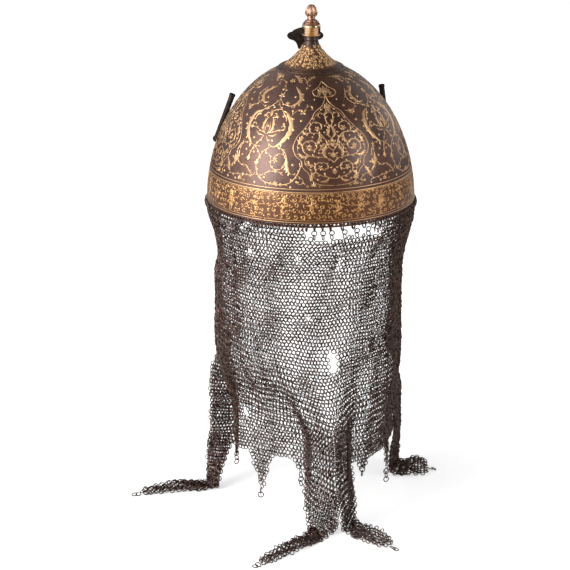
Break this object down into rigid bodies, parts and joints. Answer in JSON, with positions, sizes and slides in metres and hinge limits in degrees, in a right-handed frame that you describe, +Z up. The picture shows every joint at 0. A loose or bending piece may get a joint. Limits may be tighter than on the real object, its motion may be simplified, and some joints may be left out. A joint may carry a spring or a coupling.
{
  "type": "kulah khud",
  "caption": "Persian helmet: domed steel bowl with apex mount and finial, sliding nasal bar, plume tubes and a hanging curtain of ring mail.",
  "frame": {"origin": "centre of the bowl's rim circle, in the plane of the rim's lower edge", "axes": "+Z up the bowl's axis towards the finial, +Y out of the front, where the nasal bar is, +X to the wearer's right"},
  "size_m": [0.3034, 0.3009, 0.5081],
  "materials": {
    "russet_steel": "russet brown steel inlaid with gold",
    "gilt_steel": "steel overlaid with dense gold scrolls",
    "brass": "polished",
    "nasal_steel": "dark russet steel",
    "iron_fittings": "dark worn iron",
    "mail_iron": "dark iron rings, worn bright on the edges"
  },
  "bodies": {
    "helmet": {"bowl": "russet_steel", "apex_mount": "gilt_steel", "apex_rivets": "gilt_steel", "finial_collar": "brass", "finial_knob": "brass", "finial_stud": "iron_fittings", "finial_nut": "iron_fittings", "nasal_plate": "gilt_steel", "nasal_bracket": "iron_fittings", "nasal_rivets": "iron_fittings", "plume_plate_left": "gilt_steel", "plume_tube_left": "iron_fittings", "plume_rivets_left": "iron_fittings", "plume_plate_right": "gilt_steel", "plume_tube_right": "iron_fittings", "plume_rivets_right": "iron_fittings", "hanger_rings": "mail_iron", "mail_left_side": "mail_iron", "mail_back_left": "mail_iron", "mail_back_centre": "mail_iron", "mail_back_right": "mail_iron", "mail_right_side": "mail_iron", "mail_brow_fringe": "mail_iron", "mail_point_front_left": "mail_iron", "mail_point_back_left": "mail_iron", "mail_point_back_right": "mail_iron", "mail_point_front_right": "mail_iron"},
    "nasal": {"nasal_bar": "nasal_steel"},
    "screw": {"nasal_screw": "iron_fittings"}
  },
  "joints": [
    {"name": "nasal_slide", "type": "slide", "parent": "helmet", "child": "nasal", "axis": [0, 0, 1], "range_m": [-0.085, 0]},
    {"name": "screw_turn", "type": "hinge", "parent": "helmet", "child": "screw", "pos_m": [0, 0.1115, 0.023], "axis": [0, 1, 0], "range_deg": [0, 540]}
  ]
}
